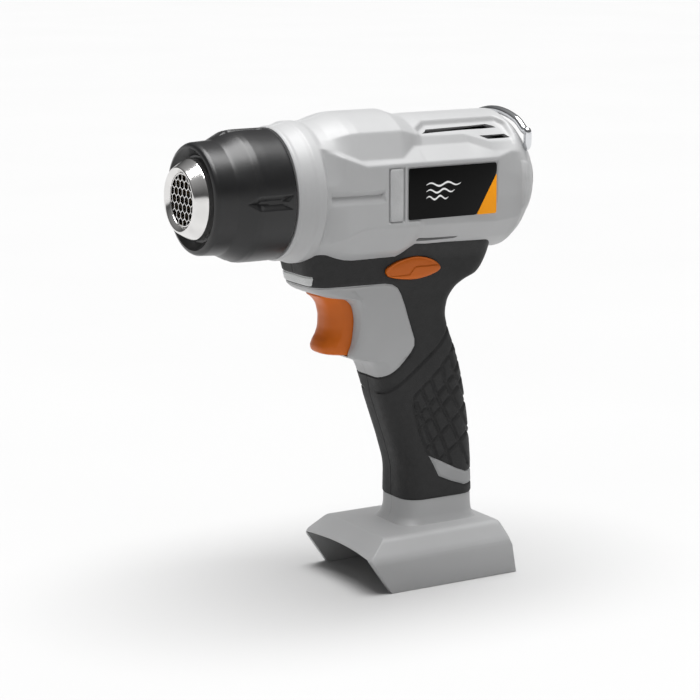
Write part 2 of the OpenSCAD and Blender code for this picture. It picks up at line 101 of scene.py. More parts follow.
PAD_LINES = [[(84.5, 101), (90, 88), (97, 72), (99, 66.5)], [(88, 109), (94.5, 94), (103, 76), (108, 62)],
             [(94, 113.5), (98.5, 103), (108, 86), (120, 62)], [(101, 121), (103, 112), (112, 96), (128, 70)],
             [(106, 128), (109, 116), (118, 102), (130, 84)],
             [(84, 93.5), (91, 97), (99, 104), (107, 113), (116, 124)],
             [(86.5, 86), (94, 91), (103, 98.5), (113, 108), (124, 119)],
             [(91, 73.5), (97, 78.5), (107, 86.5), (119, 97), (130, 107)],
             [(100, 66.5), (108, 72), (119, 80), (130, 88)]]
TRIGGER_FRONT = [(131, 35.4), (132.2, 31), (133.6, 29.6), (135.4, 29.2), (138.4, 30.2), (142.5, 32.5),
                 (147, 33.8), (152, 34), (155.4, 33.4), (158.4, 32.6), (161, 31), (163, 29),
                 (164.6, 26.8), (165.8, 26)]


# ---------------------------------------------------------------- mesh helpers

def metres(points):
    """Points in the tool's millimetres as points of the frame, in metres."""
    p = np.asarray(points, float).reshape(-1, 3) / 1000
    p[:, 0] += SHIFT
    return p


def make(name, points, faces):
    """A mesh object from points in the tool's millimetres."""
    mesh = bpy.data.meshes.new(name)
    mesh.from_pydata(metres(points).tolist(), [], [list(map(int, f)) for f in faces])
    mesh.validate()
    piece = bpy.data.objects.new(name, mesh)
    bpy.context.scene.collection.objects.link(piece)
    tool = bmesh.new()
    tool.from_mesh(mesh)
    bmesh.ops.recalc_face_normals(tool, faces=tool.faces)
    tool.to_mesh(mesh)
    tool.free()
    return piece


def grid_faces(rows, columns, closed, first=0):
    """Quads between rows of points; closed joins the last column to the first."""
    count = columns if closed else columns - 1
    r, c = np.meshgrid(np.arange(rows - 1), np.arange(count), indexing="ij")
    after = (c + 1) % columns
    quads = np.stack([r * columns + c, r * columns + after,
                      (r + 1) * columns + after, (r + 1) * columns + c], -1)
    return (quads.reshape(-1, 4) + first).tolist()


def loft(name, rings):
    """A closed solid through rings of equally many points."""
    rings = np.asarray(rings, float)
    rows, columns = rings.shape[:2]
    points = rings.reshape(-1, 3)
    faces = grid_faces(rows, columns, True)
    middles = np.array([rings[0].mean(0), rings[-1].mean(0)])
    total = rows * columns
    for k in range(columns):
        after = (k + 1) % columns
        faces.append([after, k, total])
        faces.append([total - columns + k, total - columns + after, total + 1])
    return make(name, np.vstack([points, middles]), faces)


def prism(name, outline, y0, y1):
    """A prism across the tool from an outline in the side view."""
    rings = [[(x, y, z) for x, z in outline] for y in (y0, y1)]
    n = len(outline)
    points = np.array(rings).reshape(-1, 3)
    faces = grid_faces(2, n, True) + [list(range(n)), list(range(n, 2 * n))[::-1]]
    return make(name, points, faces)


def box(name, low, high):
    outline = [(low[0], low[2]), (high[0], low[2]), (high[0], high[2]), (low[0], high[2])]
    return prism(name, outline, low[1], high[1])


def rod(name, start, end, radius, sides=24):
    """A round bar between two points."""
    start, end = Vector(start), Vector(end)
    along = (end - start).normalized()
    across = along.orthogonal().normalized()
    other = along.cross(across)
    turn = [2 * math.pi * k / sides for k in range(sides)]
    return loft(name, [[p + (across * math.cos(a) + other * math.sin(a)) * radius for a in turn]
                       for p in (start, end)])


def revolve(name, profile, sides=128):
    """A solid turned about the barrel axis from a closed profile of (radius, x)."""
    profile = np.asarray(profile, float)
    turn = np.linspace(0, 2 * math.pi, sides, endpoint=False)
    radius, x = profile[:, 0][:, None], profile[:, 1][:, None]
    rings = np.stack([x + 0 * turn, radius * np.cos(turn), AXIS + radius * np.sin(turn)], -1)
    rows = len(profile)
    points = rings.reshape(-1, 3)
    faces = grid_faces(rows, sides, True)
    faces += [[(rows - 1) * sides + k, (rows - 1) * sides + (k + 1) % sides, (k + 1) % sides, k]
              for k in range(sides)]
    return make(name, points, faces)


def rounded(profile, radius=0.5, steps=4):
    """A closed profile whose corners are rounded."""
    profile = np.asarray(profile, float)
    out = []
    for before, here, after in zip(np.roll(profile, 1, 0), profile, np.roll(profile, -1, 0)):
        a, b = before - here, after - here
        la, lb = np.linalg.norm(a), np.linalg.norm(b)
        cut = min(radius, la * 0.45, lb * 0.45)
        a, b = here + a / la * cut, here + b / lb * cut
        for t in np.linspace(0, 1, steps):
            out.append((1 - t) ** 2 * a + 2 * t * (1 - t) * here + t * t * b)
    return np.array(out)


def boolean(piece, tools, operation="DIFFERENCE"):
    """Applies each tool to the piece and deletes the tools."""
    for other in tools:
        step = piece.modifiers.new("cut", "BOOLEAN")
        step.solver = "MANIFOLD"
        step.operation = operation
        step.object = other
        apply_modifiers(piece)
        bpy.data.objects.remove(other)
    return piece


def apply_modifiers(piece):
    graph = bpy.context.evaluated_depsgraph_get()
    mesh = bpy.data.meshes.new_from_object(piece.evaluated_get(graph))
    piece.modifiers.clear()
    piece.data = mesh


def copy_of(piece, name):
    twin = piece.copy()
    twin.data = piece.data.copy()
    twin.name = name
    bpy.context.scene.collection.objects.link(twin)
    return twin


def mirrored(piece, name):
    """The same piece on the other side of the tool."""
    twin = copy_of(piece, name)
    twin.data.transform(((1, 0, 0, 0), (0, -1, 0, 0), (0, 0, 1, 0), (0, 0, 0, 1)))
    twin.data.flip_normals()
    return twin


def bevel(piece, width, segments=3, angle=30):
    """Rounds the sharp edges of a piece, by a width in millimetres."""
    step = piece.modifiers.new("bevel", "BEVEL")
    step.width = width / 1000
    step.segments = segments
    step.limit_method = "ANGLE"
    step.angle_limit = math.radians(angle)
    apply_modifiers(piece)
    return piece


def dress(piece, material, body, replaces=(), angle=35):
    """Smooth shading, material, body and the CAD nodes that the piece stands for."""
    piece.data.materials.clear()
    piece.data.materials.append(material)
    piece.data.polygons.foreach_set("material_index", [0] * len(piece.data.polygons))
    piece.data.polygons.foreach_set("use_smooth", [True] * len(piece.data.polygons))
    piece.data.set_sharp_from_angle(angle=math.radians(angle))
    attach(piece, body)
    if replaces:
        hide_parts(*replaces)
    return piece


def dress_pair(piece, material, node=None):
    """Dresses a piece of the left side and its mirrored twin on the right."""
    twin = mirrored(piece, piece.name.replace("left", "right"))
    for each, word in ((piece, "left"), (twin, "right")):
        dress(each, M[material], "housing", [f"{node}_{word}"] if node else ())


# ---------------------------------------------------------------- field helpers

def ramp(value, low, high):
    """A smooth step from 0 at low to 1 at high."""
    t = np.clip((value - low) / (high - low), 0, 1)
    return t * t * (3 - 2 * t)


def distance(x, z, line, closed=False):
    """Distance from every point to a line of points."""
    points = np.asarray(line, float)
    ends = np.roll(points, -1, 0) if closed else points[1:]
    best = np.full(np.shape(x), 1e9)
    for a, b in zip(points, ends):
        d = b - a
        t = np.clip(((x - a[0]) * d[0] + (z - a[1]) * d[1]) / (d @ d), 0, 1)
        best = np.minimum(best, np.hypot(x - a[0] - t * d[0], z - a[1] - t * d[1]))
    return best


def inside(x, z, outline):
    """True where a point is within a closed outline."""
    found = np.zeros(np.shape(x), bool)
    points = np.asarray(outline, float)
    for a, b in zip(points, np.roll(points, -1, 0)):
        if a[1] == b[1]:
            continue
        crosses = (a[1] > z) != (b[1] > z)
        found ^= crosses & (x < (b[0] - a[0]) * (z - a[1]) / (b[1] - a[1]) + a[0])
    return found


def depth_in(x, z, outline):
    """Signed distance to a closed outline, positive inside."""
    return np.where(inside(x, z, outline), 1, -1) * distance(x, z, outline, True)


def groove(x, z, line, width, depth, closed=False):
    """A rounded groove along a line, as a depth."""
    return depth * (1 - ramp(distance(x, z, line, closed), width * 0.25, width * 0.75))


def soften(field, cells, axis):
    """Averages a field along one axis, so that its edges become small radii."""
    weights = np.exp(-0.5 * (np.arange(-2 * cells, 2 * cells + 1) / cells) ** 2)
    weights /= weights.sum()
    reach = 2 * cells
    pad = [(0, 0), (0, 0)]
    pad[axis] = (reach, reach)
    wide = np.pad(field, pad, mode="edge")
    length = field.shape[axis]
    parts = [np.take(wide, range(k, k + length), axis=axis) * w for k, w in enumerate(weights)]
    return sum(parts)


def smooth_curve(at, known, values):
    """Monotone cubic interpolation, so that lofts have no waves."""
    known, values = np.asarray(known, float), np.asarray(values, float)
    step = np.diff(known)
    slope = np.diff(values) / step
    grade = np.zeros_like(values)
    same = slope[1:] * slope[:-1] > 0
    w1, w2 = 2 * step[1:] + step[:-1], step[1:] + 2 * step[:-1]
    mean = (w1 + w2) / (w1 / np.where(same, slope[:-1], 1) + w2 / np.where(same, slope[1:], 1))
    grade[1:-1] = np.where(same, mean, 0)
    grade[0], grade[-1] = slope[0], slope[-1]
    k = np.clip(np.searchsorted(known, at) - 1, 0, len(step) - 1)
    t = (at - known[k]) / step[k]
    h = step[k]
    return (values[k] * (1 + 2 * t) * (1 - t) ** 2 + grade[k] * h * t * (1 - t) ** 2
            + values[k + 1] * t * t * (3 - 2 * t) + grade[k + 1] * h * t * t * (t - 1))


# ---------------------------------------------------------------- materials

def new_material(name, colour, roughness, metallic=0.0, **sockets):
    material = bpy.data.materials.new(name)
    material.use_nodes = True
    shader = material.node_tree.nodes["Principled BSDF"]
    shader.inputs["Base Color"].default_value = (*colour, 1)
    shader.inputs["Roughness"].default_value = roughness
    shader.inputs["Metallic"].default_value = metallic
    for socket, value in sockets.items():
        shader.inputs[socket.replace("_", " ")].default_value = value
    return material, material.node_tree, shader


def texture(tree, kind, scale, **settings):
    """A noise or Voronoi texture in object space; scale is in repeats per metre."""
    node = tree.nodes.new(kind)
    place = tree.nodes.new("ShaderNodeTexCoord")
    tree.links.new(place.outputs["Object"], node.inputs["Vector"])
    node.inputs["Scale"].default_value = scale
    for socket, value in settings.items():
        node.inputs[socket].default_value = value
    return node


def tint(tree, shader, source, dark, light, low=0.35, high=0.65):
    """Colours the surface between two close shades."""
    shades = tree.nodes.new("ShaderNodeValToRGB")
    shades.color_ramp.elements[0].position = low
    shades.color_ramp.elements[0].color = (*dark, 1)
    shades.color_ramp.elements[1].position = high
    shades.color_ramp.elements[1].color = (*light, 1)
    tree.links.new(source, shades.inputs["Fac"])
    tree.links.new(shades.outputs["Color"], shader.inputs["Base Color"])


def rough(tree, shader, source, low, high):
    span = tree.nodes.new("ShaderNodeMapRange")
    span.inputs["To Min"].default_value = low
    span.inputs["To Max"].default_value = high
    tree.links.new(source, span.inputs["Value"])
    tree.links.new(span.outputs["Result"], shader.inputs["Roughness"])


def relief(tree, shader, source, height, strength=1.0):
    """Surface grain, by a height in millimetres."""
    bump = tree.nodes.new("ShaderNodeBump")
    bump.inputs["Distance"].default_value = height / 1000
    bump.inputs["Strength"].default_value = strength
    tree.links.new(source, bump.inputs["Height"])
    tree.links.new(bump.outputs["Normal"], shader.inputs["Normal"])


def plastic(name, colour, roughness=0.45, grain=2600, height=0.012, spread=0.05, **sockets):
    """Moulded plastic: faint cloudy shade, fine spark-erosion grain and uneven gloss."""
    material, tree, shader = new_material(name, colour, roughness, **sockets)
    cloud = texture(tree, "ShaderNodeTexNoise", 45, Detail=4.0)
    tint(tree, shader, cloud.outputs["Fac"], [c * (1 - spread) for c in colour],
         [min(1, c * (1 + spread)) for c in colour])
    fine = texture(tree, "ShaderNodeTexNoise", grain, Detail=2.0)
    rough(tree, shader, texture(tree, "ShaderNodeTexNoise", 160, Detail=3.0).outputs["Fac"],
          roughness - 0.05, roughness + 0.06)
    relief(tree, shader, fine.outputs["Fac"], height)
    return material


def rubber(name, colour):
    """Soft moulded grip with a leathery pebble grain."""
    material, tree, shader = new_material(name, colour, 0.62)
    pebble = texture(tree, "ShaderNodeTexVoronoi", 1150)
    tint(tree, shader, texture(tree, "ShaderNodeTexNoise", 60, Detail=5.0).outputs["Fac"],
         [c * 0.85 for c in colour], [c * 1.15 for c in colour])
    rough(tree, shader, texture(tree, "ShaderNodeTexNoise", 300).outputs["Fac"], 0.55, 0.7)
    relief(tree, shader, pebble.outputs["Distance"], 0.12, 0.8)
    return material


def metal(name, colour, roughness, brushed=(60, 60, 60), height=0.004):
    """Metal with fine drawn or turned marks."""
    material, tree, shader = new_material(name, colour, roughness, 1.0)
    stretch = tree.nodes.new("ShaderNodeMapping")
    place = tree.nodes.new("ShaderNodeTexCoord")
    stretch.inputs["Scale"].default_value = brushed
    marks = tree.nodes.new("ShaderNodeTexNoise")
    marks.inputs["Scale"].default_value = 20
    tree.links.new(place.outputs["Object"], stretch.inputs["Vector"])
    tree.links.new(stretch.outputs["Vector"], marks.inputs["Vector"])
    rough(tree, shader, marks.outputs["Fac"], roughness * 0.7, roughness * 1.4)
    tint(tree, shader, texture(tree, "ShaderNodeTexNoise", 90, Detail=4.0).outputs["Fac"],
         [c * 0.93 for c in colour], [min(1, c * 1.05) for c in colour])
    relief(tree, shader, marks.outputs["Fac"], height)
    return material


def window(name):
    """Frosted light window with fine cross-hatched prisms."""
    material, tree, shader = new_material(name, (0.8, 0.81, 0.8), 0.3, Transmission_Weight=0.25, IOR=1.5)
    cells = texture(tree, "ShaderNodeTexVoronoi", 1400, Randomness=0.2)
    tint(tree, shader, cells.outputs["Distance"], (0.84, 0.85, 0.84), (0.6, 0.61, 0.61), 0.1, 0.7)
    rough(tree, shader, cells.outputs["Distance"], 0.22, 0.42)
    relief(tree, shader, cells.outputs["Distance"], 0.1)
    return material


GREY = (0.40, 0.402, 0.405)
ORANGE = (0.55, 0.12, 0.008)
M = {
    "shell": plastic("shell_grey", GREY, 0.42, spread=0.015),
    "panel": plastic("panel_grey", (0.37, 0.372, 0.375), 0.45, spread=0.015),
    "rubber": rubber("grip_rubber", (0.006, 0.006, 0.0062)),
    "collar": plastic("collar_black", (0.008, 0.008, 0.0085), 0.33, grain=1800, height=0.01, spread=0.1),
    "black": plastic("black_plastic", (0.02, 0.02, 0.022), 0.5, spread=0.15),
    "orange": plastic("orange_plastic", ORANGE, 0.36, grain=1500, height=0.015, spread=0.04,
                      Specular_IOR_Level=0.25),
    "insert": plastic("insert_grey", (0.42, 0.422, 0.425), 0.6, grain=900, height=0.16, spread=0.12),
    "chevron": plastic("chevron_grey", (0.32, 0.322, 0.325), 0.6, grain=900, height=0.12, spread=0.1),
    "plate": plastic("plate_black", (0.0015, 0.0015, 0.0015), 0.3, grain=1200, height=0.004, spread=0.1,
                     Specular_IOR_Level=0.12),
    "wedge": plastic("wedge_orange", (1, 0.36, 0.008), 0.35, grain=1200, height=0.004, spread=0.03,
                     Specular_IOR_Level=0.12),
    "print": plastic("print_white", (0.85, 0.85, 0.85), 0.4, grain=1200, height=0.004, spread=0.02),
    "steel": metal("nozzle_steel", (0.78, 0.77, 0.76), 0.13, (3, 90, 90)),
    "chrome": metal("bail_chrome", (0.72, 0.73, 0.75), 0.08, (40, 90, 90), 0.002),
    "dull": metal("dull_steel", (0.45, 0.45, 0.46), 0.35),
    "copper": metal("copper", (0.72, 0.36, 0.2), 0.3, (90, 20, 20)),
    "window": window("light_window"),
    "board": plastic("board_green", (0.03, 0.16, 0.06), 0.4, grain=700, height=0.03, spread=0.2),
    "pale": plastic("board_white", (0.75, 0.74, 0.66), 0.5, spread=0.08),
    "mica": plastic("mica", (0.5, 0.42, 0.26), 0.35, grain=500, height=0.03, spread=0.2),
    "blue": plastic("end_cap_blue", (0.03, 0.06, 0.12), 0.45, spread=0.15),
    "red": plastic("lead_red", (0.4, 0.02, 0.015), 0.4, spread=0.1),
}


# ---------------------------------------------------------------- barrel

PROFILE_X = [0.4, 1.2, 2.2, 3.2, 9.8, 11.2, 16.2, 19, 25, 31, 36, 41.5, 68.5, 79, 86, 141, 146.5, 154.5]
PROFILE_R = [35.2, 36.3, 36.3, 36.0, 37.4, 38.3, 38.3, 37.6, 38.4, 40.3, 41.5, BAND_R, BAND_R, 38.4,
             38.8, 38.8, 35, 26.6]


def polar(y, z):
    return np.hypot(y, z), np.degrees(np.arctan2(z, y))


def barrel_sections(x):
    """The anchor points of the barrel's cross-section at each x, from top to bottom, as radius and angle."""
    r0 = np.interp(x, PROFILE_X, PROFILE_R)
    sunk = np.interp(x, [80, 82.6, 138, 141.5], [0, 1, 1, 0])
    top = np.interp(x, [81.9, 88.9, 135.3, 138.1, 143.9], [59.7, 67.9, 68.6, 62.3, 52])
    floor_top = top - 3.4
    floor_bottom = np.interp(x, [82.4, 110.5, 118.3, 123.6, 140], [51, 50.4, 43.9, 39.6, 38.6])
    floor_bottom = np.minimum(floor_bottom, floor_top - 2)
    floor_r = np.interp(x, [110, 123], [36.8, 37.7])
    edge_z = np.interp(x, [17, 26, 32, 40, 66, 76, 111, 117.5, 124.5, 136, 141],
                       [25.6, 24.6, 21.6, 18.4, 18.2, 23.7, 23.7, 21.4, 19.1, 19.1, 18.4])
    edge_y = np.interp(x, [17, 26, 32, 40, 66, 76, 111, 117.5, 124.5, 136, 141],
                       [28.6, 29, 30.6, 32.3, 32.3, 26.2, 26.2, 29.4, 32.2, 33.4, 34.1])
    inner_z = np.interp(x, [17, 42, 68, 126, 135, 141], [25.4, 15.4, 15.7, 15.7, 18.4, 17.6])
    lower_z = np.interp(x, [17, 22.5, 32.5, 41.4, 62.7, 75.6, 101.5, 126, 141],
                        [-27, -26.2, -21.1, -18.1, -18.1, -18.8, -19.2, -19.8, -18])
    flat = np.interp(x, [17, 19, 42.5, 134, 141], [33.6, 33, 35.2, 35.2, 36])
    inner_y = np.minimum(flat, np.sqrt(r0 ** 2 - inner_z ** 2) - 0.1)
    lower_y = np.minimum(flat, np.sqrt(r0 ** 2 - lower_z ** 2) - 0.1)
    anchors = [(r0, np.full_like(x, 90.0)), (r0, top),
               (r0 + (36.5 - r0) * sunk, floor_top),
               (r0 + (floor_r - r0) * sunk, floor_bottom),
               polar(edge_y, edge_z), polar(inner_y, inner_z),
               polar(flat, 6.0 + 0 * x), polar(flat, -6.0 + 0 * x),
               polar(lower_y, lower_z), (r0, np.full_like(x, -50.0))]
    return r0, [np.array(a) for a in anchors]


def barrel_field(x, angle):
    """Radius of the barrel at every x (rows) and angle above the horizontal (columns)."""
    r0, anchors = barrel_sections(x)
    field = np.repeat(r0[:, None], len(angle), 1)
    theta = np.radians(angle)[None, :]
    for (ra, ta), (rb, tb) in zip(anchors[1:-1], anchors[2:]):
        ya, za = ra * np.cos(np.radians(ta)), ra * np.sin(np.radians(ta))
        yb, zb = rb * np.cos(np.radians(tb)), rb * np.sin(np.radians(tb))
        cross = (ya * zb - za * yb)[:, None]
        facing = np.cos(theta) * (zb - za)[:, None] - np.sin(theta) * (yb - ya)[:, None]
        line = cross / np.where(np.abs(facing) < 1e-9, 1e-9, facing)
        between = (angle[None, :] <= ta[:, None]) & (angle[None, :] > tb[:, None])
        field = np.where(between, line, field)
    faceted = ramp(x, 15.5, 19)[:, None] * (1 - ramp(x, 136, 143))[:, None]
    sunk = np.interp(x, [80, 82.6, 138, 141.5], [0, 1, 1, 0])[:, None]
    faceted = np.maximum(faceted, sunk * (angle > 36)[None, :])
    return r0[:, None] + (field - r0[:, None]) * faceted


def barrel_details(x, angle, field):
    """Cuts the side groove, the badge pocket, the strip pocket and the parting chamfers."""
    theta = np.radians(angle)[None, :]
    y, z = field * np.cos(theta), field * np.sin(theta)
    xx = np.repeat(x[:, None], len(angle), 1)
    trough = np.interp(z, [-4.6, 0, 2.8], [0, 2, 0], 0, 0)
    ends = ramp(xx, 20.6, 22.6 + 0 * xx) * (1 - ramp(xx - np.abs(z + 0.6) * 0.55, 51.4, 52.8))
    y = y - trough * ends
    pocket = depth_in(xx, z, [(67.2, -15.9), (125.4, -15.9), (125.4, 13.6), (67.2, 13.6)])
    y = np.where(pocket > -0.8, np.minimum(y, 34.45 + 0.75 * (1 - ramp(pocket, -0.5, 0.25))), y)
    strip = depth_in(xx, z, [(55.4, -16), (65.6, -16), (65.6, 14), (55.4, 14)])
    y = y - 1.15 * ramp(strip, -0.3, 0.35)
    seam = np.minimum(90 - angle, angle + 90)[None, :] * np.pi / 180 * 38
    radius = np.where(np.abs(angle)[None, :] < 80, y / np.cos(theta), field)
    return radius - 0.28 * (1 - ramp(seam, 0.05, 0.55))


def bridge(fine, coarse, ratio):
    """Triangles between a fine closed loop and one with every ratio-th point."""
    faces = []
    n = len(fine)
    for i, c in enumerate(coarse):
        after = coarse[(i + 1) % len(coarse)]
        run = [fine[(i * ratio + k) % n] for k in range(ratio + 1)]
        faces += [[run[k], run[k + 1], c] for k in range(ratio)]
        faces.append([run[-1], after, c])
    return faces


def rim_of(rows, columns, step, first=0):
    """The border of a grid of points, in order, taking every step-th point."""
    top = [c for c in range(0, columns - 1, step)]
    right = [r * columns + columns - 1 for r in range(0, rows - 1, step)]
    bottom = [(rows - 1) * columns + c for c in range(columns - 1, 0, -step)]
    left = [r * columns for r in range(rows - 1, 0, -step)]
    return [first + k for k in top + right + bottom + left]


RATIO = 4
BARREL_X = np.linspace(0.4, TOOL_END, 76 * RATIO + 1)
BARREL_ANGLE = np.linspace(90, -90, 58 * RATIO + 1)


def barrel_radius():
    field = barrel_field(BARREL_X, BARREL_ANGLE)
    field = soften(soften(field, 1, 0), 1, 1)
    return barrel_details(BARREL_X, BARREL_ANGLE, field)


def barrel_shell(name, field):
    """One half of the barrel as a closed shell with an even wall."""
    theta = np.radians(BARREL_ANGLE)[None, :]
    xx = np.repeat(BARREL_X[:, None], len(BARREL_ANGLE), 1)

    def surface(radius, lengths):
        return np.stack([lengths, -radius * np.cos(theta), AXIS + radius * np.sin(theta)], -1)

    rows, columns = field.shape
    outer = surface(field, xx)
    coarse = soften(soften(field, 4, 0), 4, 1) - WALL
    coarse = np.minimum(coarse, 32.6 / np.maximum(np.cos(theta), 0.2))
    inner = surface(coarse, np.clip(xx, 0.4, TOOL_END - 0.6))[::RATIO, ::RATIO]
    inner[:, 0, 1] = outer[::RATIO, 0, 1]
    inner[:, -1, 1] = outer[::RATIO, -1, 1]
    first = rows * columns
    rows_in, columns_in = inner.shape[:2]
    faces = grid_faces(rows, columns, False)
    faces += [f[::-1] for f in grid_faces(rows_in, columns_in, False, first)]
    faces += bridge(rim_of(rows, columns, 1), rim_of(rows_in, columns_in, 1, first), RATIO)
    return make(name, np.vstack([outer.reshape(-1, 3), inner.reshape(-1, 3)]), faces)


def wedge_cutter(name, outline):
    """A slot cutter through the barrel wall, wider inside, from an outline of (x, angle)."""
    outline = np.array(outline, float)
    rings = []
    for radius, spread in ((33, 2.4), (37.4, 1), (50, 1)):
        wide = outline.mean(0) + (outline - outline.mean(0)) * (1, spread)
        rings.append([(x, -radius * math.cos(math.radians(a)), AXIS + radius * math.sin(math.radians(a)))
                      for x, a in wide])
    return loft(name, rings)


def barrel_cutters():
    slots = [[(84.4, 54.3), (88.3, 58.8), (128.6, 61.0), (133.9, 56.9)],
             [(119.4, 46.6), (136, 47), (138.2, 42.6), (123.4, 42.3)],
             [(78, -46.2), (79.4, -44.4), (105, -45.6), (103.4, -47.6), (78.6, -48.2)]]
    return [wedge_cutter("slot", s) for s in slots]


# ---------------------------------------------------------------- handle

def station_ring(height, off, count):
    """A rounded outline of the handle at one height, inset by off, as points all the way round."""
    columns = [smooth_curve(height, STATIONS[:, 0], STATIONS[:, k]) for k in range(1, 5)]
    front, rear, half, corner = columns
    front, rear, half = front + off, rear - off, half - off
    corner = max(corner - off, 2)
    turn = np.linspace(0, np.pi / 2, 13)
    power = 2.25
    c = np.abs(np.cos(turn)) ** (2 / power) * corner
    s = np.abs(np.sin(turn)) ** (2 / power) * corner
    parts = [np.stack([rear - corner + c, -(half - corner) - s], 1),
             np.stack([front + corner - c[::-1], -(half - corner) - s[::-1]], 1)]
    lower = np.vstack([[(rear, 0)], parts[0], parts[1], [(front, 0)]])
    upper = lower[::-1] * (1, -1)
    loop = np.vstack([lower, upper[1:]])
    along = np.concatenate([[0], np.cumsum(np.linalg.norm(np.diff(loop, axis=0), axis=1))])
    at = np.linspace(0, along[-1], count + 1)[:-1]
    return np.interp(at, along, loop[:, 0]), np.interp(at, along, loop[:, 1])


def handle_relief(x, y, z):
    """How far each point of the handle's skin is pressed in."""
    flank = ramp(np.abs(y), 4, 9)
    depth = groove(x, z, PANEL[:-1], 1.3, 0.55)
    depth = np.maximum(depth, groove(x, z, CHEVRON, 1.1, 0.45, True) * flank)
    depth = np.maximum(depth, groove(x, z, GRIP_LINE, 1.5, 0.75) * flank)
    in_pad = depth_in(x, z, PAD)
    depth = np.maximum(depth, groove(x, z, PAD[:12], 1.5, 0.75) * flank)
    lines = np.zeros_like(x)
    for line in PAD_LINES:
        lines = np.maximum(lines, groove(x, z, line, 2.0, 1.0))
    depth = np.maximum(depth, lines * ramp(in_pad, 0, 0.6) * flank)
    panel = depth_in(x, z, PANEL)
    depth = depth + 0.35 * ramp(panel, 0.4, 1.6) * (z > 112) * flank
    depth = depth - 0.55 * (1 - ramp(distance(x, z, BEAD), 0.5, 1.7)) * flank
    below = 1 - ramp(z, SKIN_BOTTOM - 0.2, SKIN_BOTTOM + 0.3)
    depth = depth + 0.5 * below
    depth = np.maximum(depth, 0.6 * (1 - ramp(np.abs(z - SKIN_BOTTOM), 0.3, 0.8)))
    frame_line = distance(x, z, [(12, 172), (19.2, 172), (19.2, 177.4), (12, 177.4)])
    depth = np.maximum(depth, 0.5 * (1 - ramp(frame_line, 0.3, 0.8)) * (x < 22))
    return depth


def handle_solid(name, off, step, count, detailed):
    """The handle as a closed loft. The detailed one has its grooves and its widened shoulder."""
    heights = np.arange(STATIONS[0, 0] + (0 if detailed or off == 0 else 1.2), STATIONS[-1, 0], step)
    rings = []
    for height in heights:
        x, y = station_ring(height, off, count)
        z = np.full_like(x, height)
        shoulder = ramp(height, 181, 192) * ramp(x, 70.5, 75) * (1 - ramp(x, 126, 136))
        y = y * (1 + (0.17 - 0.05 * ramp(x, 94, 126)) * shoulder)
        rings.append(np.stack([x, y, z], 1))
    rings = np.array(rings)
    if detailed:
        x, y, z = rings[..., 0], rings[..., 1], rings[..., 2]
        depth = handle_relief(x, y, z) + 0.25 * (1 - ramp(np.abs(y), 0.05, 0.5))
        along = np.roll(rings, -1, 1) - np.roll(rings, 1, 1)
        normal = np.stack([along[..., 1], -along[..., 0]], -1)
        normal /= np.linalg.norm(normal, axis=-1, keepdims=True) + 1e-12
        outward = np.sign((normal * np.stack([x - 90, y], -1)).sum(-1).mean())
        rings[..., :2] -= outward * normal * depth[..., None]
    return loft(name, rings)


def half_space(name, side):
    """A block that holds everything beyond the middle plane on one side."""
    low, high = (-200, 0) if side < 0 else (0, 200)
    return box(name, (-200, low, -50), (300, high, 400))


def foot_solid(name):
    """The battery foot: sloping shoulders, soft top edges and a curved front apron."""
    tool = bmesh.new()
    corners = []
    for x0, x1, half, z in [(57, 140, 37.5, 0), (43.1, 136.6, 37.5, 20), (55.5, 132.5, 31, 30.5)]:
        corners += [(x, y, z) for x in (x0, x1) for y in (-half, half)]
    for p in metres(corners):
        tool.verts.new(p)
    bmesh.ops.convex_hull(tool, input=tool.verts)
    bmesh.ops.dissolve_limit(tool, angle_limit=math.radians(2), verts=tool.verts, edges=tool.edges)
    soft = [e for e in tool.edges if min(v.co.z for v in e.verts) > 0.019
            and max(v.co.x for v in e.verts) > SHIFT + 0.12]
    bmesh.ops.bevel(tool, geom=soft, offset=0.0036, segments=7, profile=0.6, affect="EDGES")
    mesh = bpy.data.meshes.new(name)
    tool.to_mesh(mesh)
    tool.free()
    piece = bpy.data.objects.new(name, mesh)
    bpy.context.scene.collection.objects.link(piece)
    return bevel(piece, 0.7, 3, 25)


def foot_cutters():
    turn = np.linspace(-0.0847, 0.0847, 25)
    arch = [(400 * math.sin(a), -378.4 + 400 * math.cos(a)) for a in turn]
    outline = [(-33.9, -2)] + arch + [(33.9, -2)]
    front = loft("arch", [[(x, y, z) for y, z in outline] for x in (30, 62)])
    space = [(-33.8, -2), (-33.8, 18), (-29, 22.6), (29, 22.6), (33.8, 18), (33.8, -2)]
    inner = loft("space", [[(x, y, z) for y, z in space] for x in (48, 132)])
    return [front, inner]


def spine():
    """The barrel's round outside as a solid, for trimming what meets it from below."""
    x = [0.4] + PROFILE_X[1:-1] + [TOOL_END]
    profile = [(0.01, 0.4)] + [(r - 0.12, a) for r, a in zip(PROFILE_R, x)] + [(0.01, TOOL_END)]
    return revolve("spine", profile, 120)


TRIGGER_W = -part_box("trigger")[0].y * 1000
GAP = 0.35


def opening_cutters():
    """The trigger's slot and the lock button's hole."""
    slot = [(20, 166.3), (47.4, 166.3), (51.7, 163.1), (54.2, 157.5), (63, 157.5), (63, 133.2),
            (50.9, 133.2), (46.6, 130.6), (20, 130.6)]
    return [prism("slot", slot, -TRIGGER_W - GAP, TRIGGER_W + GAP),
            prism("hole", button_outline(GAP), -30, 30)]


